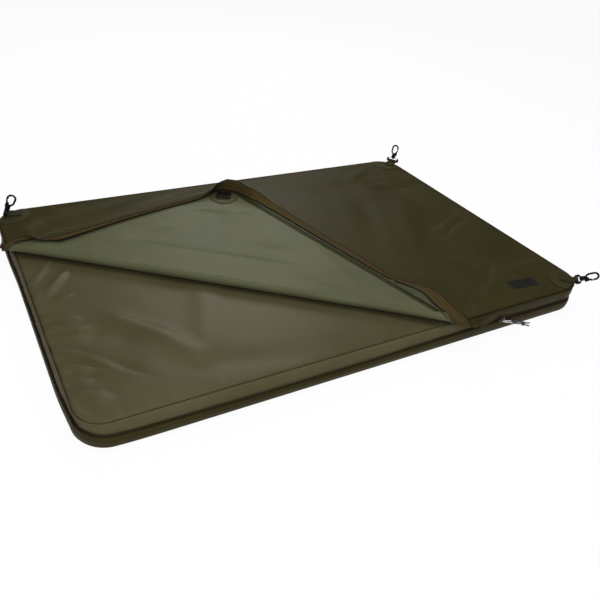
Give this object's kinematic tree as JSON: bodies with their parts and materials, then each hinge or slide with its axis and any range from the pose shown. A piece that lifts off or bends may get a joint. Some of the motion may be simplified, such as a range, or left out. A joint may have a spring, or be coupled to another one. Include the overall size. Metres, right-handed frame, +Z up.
{
  "type": "unhooking mat",
  "caption": "Rectangular padded unhooking mat in a low tray, with a zipped cover folded back at one corner and swivel snap hooks on webbing loops at its corners.",
  "frame": {"origin": "centre of the flat underside of the tray, on the ground it lies on", "axes": "+X along the mat's length, towards the side where the zip's slider is; +Y from the zipped front to the sewn back; +Z up"},
  "size_m": [1.1417, 0.787, 0.1119],
  "materials": {
    "outer_fabric": "dark brown-olive coated woven polyester",
    "pad_fabric": "brown-olive wipe-clean coated cloth with a low sheen",
    "coated_fabric": "grey-green coated inner side of the cover",
    "zip_tape": "brown woven zip tape",
    "dark_tape": "near-black woven tape and nylon coil",
    "webbing": "olive polypropylene webbing",
    "black_plastic": "moulded black acetal",
    "bright_wire": "bright plated wire",
    "black_cord": "black braided cord",
    "foam": "closed-cell foam"
  },
  "bodies": {
    "mat": {"back_wall": "outer_fabric", "base_coil": "dark_tape", "base_tape": "dark_tape", "base_tray": "outer_fabric", "cover_panel": "outer_fabric", "crease_coil_front": "dark_tape", "crease_coil_left": "dark_tape", "crease_roll": "coated_fabric", "foam_core": "foam", "gape_coil": "dark_tape", "gape_skirt": "outer_fabric", "gape_tape": "zip_tape", "label": "dark_tape", "left_coil": "dark_tape", "left_skirt": "outer_fabric", "left_tape": "zip_tape", "pad_side": "pad_fabric", "pad_top": "pad_fabric", "patch_b": "outer_fabric", "patch_c": "outer_fabric", "patch_d": "outer_fabric", "right_coil": "dark_tape", "right_skirt": "outer_fabric", "right_tape": "zip_tape", "stop_left": "black_plastic", "stop_right": "black_plastic", "webbing_b": "webbing", "webbing_c": "webbing", "webbing_d": "webbing"},
    "cover_corner": {"corner_panel": "coated_fabric", "corner_skirt": "outer_fabric", "corner_tape": "zip_tape", "corner_coil": "dark_tape", "corner_binding": "outer_fabric", "patch_a": "outer_fabric", "inner_patch_a": "outer_fabric", "strap_end_a": "webbing", "strap_frame_a": "black_plastic", "webbing_a": "webbing"},
    "hook_base_a": {"hook_base_a": "black_plastic"},
    "hook_a": {"hook_a": "black_plastic"},
    "gate_a": {"gate_a": "black_plastic"},
    "hook_base_b": {"hook_base_b": "black_plastic"},
    "hook_b": {"hook_b": "black_plastic"},
    "gate_b": {"gate_b": "black_plastic"},
    "hook_base_c": {"hook_base_c": "black_plastic"},
    "hook_c": {"hook_c": "black_plastic"},
    "gate_c": {"gate_c": "black_plastic"},
    "hook_base_d": {"hook_base_d": "black_plastic"},
    "hook_d": {"hook_d": "black_plastic"},
    "gate_d": {"gate_d": "black_plastic"},
    "slider": {"slider": "black_plastic"},
    "puller": {"pull_wire": "bright_wire", "pull_cord": "black_cord", "pull_knot": "black_cord"}
  },
  "joints": [
    {"name": "corner_fold", "type": "hinge", "parent": "mat", "child": "cover_corner", "pos_m": [-0.19655, -0.09652, 0.0665], "axis": [0.7855, -0.6189, 0], "range_deg": [0, 180.35], "deforming": ["crease_roll", "crease_coil_left", "crease_coil_front", "corner_skirt", "corner_tape", "corner_coil", "gape_skirt", "gape_tape", "gape_coil"]},
    {"name": "zip_slide", "type": "slide", "parent": "mat", "child": "slider", "axis": [1, 0, 0], "range_m": [-0.78, 0.16], "deforming": ["gape_skirt", "gape_tape", "gape_coil"]},
    {"name": "puller_swing", "type": "hinge", "parent": "slider", "child": "puller", "pos_m": [0.307, -0.3802, 0.0293], "axis": [0, 0, 1], "range_deg": [-140, 32]},
    {"name": "base_a", "type": "hinge", "parent": "cover_corner", "child": "hook_base_a", "pos_m": [-0.01835, 0.2962, 0.06464], "axis": [-0.8529, 0.522, 0.0007], "range_deg": [-45, 8]},
    {"name": "swivel_a", "type": "hinge", "parent": "hook_base_a", "child": "hook_a", "pos_m": [-0.01835, 0.2962, 0.06464], "axis": [0.4747, 0.775, 0.4171], "continuous": true},
    {"name": "gate_a_swing", "type": "hinge", "parent": "hook_a", "child": "gate_a", "pos_m": [-0.01163, 0.31596, 0.07399], "axis": [0.2172, 0.3561, -0.9089], "range_deg": [0, 18], "stiffness_Nm_per_rad": 0.02},
    {"name": "base_b", "type": "hinge", "parent": "mat", "child": "hook_base_b", "pos_m": [0.53455, -0.35955, 0.0658], "axis": [-0.7071, -0.7071, 0], "range_deg": [-85, 100]},
    {"name": "swivel_b", "type": "hinge", "parent": "hook_base_b", "child": "hook_b", "pos_m": [0.53455, -0.35955, 0.0658], "axis": [0.6243, -0.6243, 0.4695], "continuous": true},
    {"name": "gate_b_swing", "type": "hinge", "parent": "hook_b", "child": "gate_b", "pos_m": [0.55006, -0.37506, 0.07225], "axis": [-0.7071, -0.7071, 0], "range_deg": [0, 18], "stiffness_Nm_per_rad": 0.02},
    {"name": "base_c", "type": "hinge", "parent": "mat", "child": "hook_base_c", "pos_m": [0.54597, 0.34997, 0.0658], "axis": [0.5299, -0.848, 0], "range_deg": [-133, 60]},
    {"name": "swivel_c", "type": "hinge", "parent": "hook_base_c", "child": "hook_c", "pos_m": [0.54597, 0.34997, 0.0658], "axis": [0.2052, 0.1282, 0.9703], "continuous": true},
    {"name": "gate_c_swing", "type": "hinge", "parent": "hook_c", "child": "gate_c", "pos_m": [0.553, 0.34895, 0.08754], "axis": [-0.8229, -0.5142, 0.2419], "range_deg": [0, 18], "stiffness_Nm_per_rad": 0.02},
    {"name": "base_d", "type": "hinge", "parent": "mat", "child": "hook_base_d", "pos_m": [-0.5296, 0.3546, 0.0658], "axis": [0.2588, 0.9659, 0], "range_deg": [-108, 35]},
    {"name": "swivel_d", "type": "hinge", "parent": "hook_base_d", "child": "hook_d", "pos_m": [-0.5296, 0.3546, 0.0658], "axis": [0.4535, -0.1215, 0.8829], "continuous": true},
    {"name": "gate_d_swing", "type": "hinge", "parent": "hook_d", "child": "gate_d", "pos_m": [-0.52336, 0.35293, 0.08774], "axis": [0.2588, 0.9659, 0], "range_deg": [0, 18], "stiffness_Nm_per_rad": 0.02}
  ]
}
